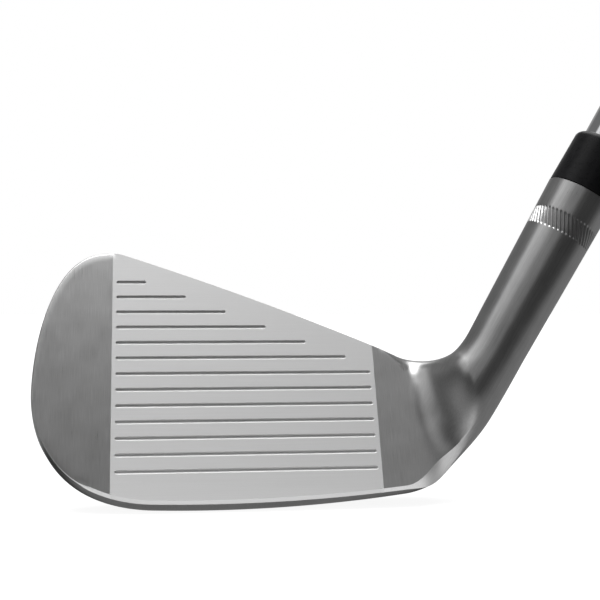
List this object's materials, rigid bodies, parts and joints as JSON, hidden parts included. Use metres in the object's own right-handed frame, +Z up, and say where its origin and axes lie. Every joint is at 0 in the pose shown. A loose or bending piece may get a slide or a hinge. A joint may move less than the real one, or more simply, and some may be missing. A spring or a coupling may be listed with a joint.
{
  "type": "iron golf club",
  "caption": "Right-handed blade iron standing at address: forged head with score lines, ferrule, stepped steel shaft and rubber grip.",
  "frame": {"origin": "on the shaft axis inside the grip, 110 mm down from the end of the cap, where the hands hold the club", "axes": "address pose: +X from the toe to the heel, +Y from the face to the back, +Z up; the shaft rises along +X and +Z at the lie angle"},
  "size_m": [0.5727, 0.0332, 0.8543],
  "materials": {
    "head_steel": "satin brushed forged steel with a fine blasted hitting area",
    "ferrule_black": "black polished plastic",
    "shaft_chrome": "chrome-plated steel tube",
    "epoxy": "cured two-part epoxy",
    "pin_brass": "turned brass",
    "grip_rubber": "moulded rubber with a fine tread",
    "cap_rubber": "smooth moulded rubber",
    "tape_paper": "crepe paper tape",
    "band_foil": "plain foil band with no marks"
  },
  "bodies": {
    "root": {"club_head": "head_steel", "ferrule": "ferrule_black", "shaft": "shaft_chrome", "hosel_epoxy": "epoxy", "tip_weight": "pin_brass", "grip_sleeve": "grip_rubber", "grip_end_cap": "cap_rubber", "grip_tape": "tape_paper", "shaft_band": "band_foil"}
  },
  "joints": []
}
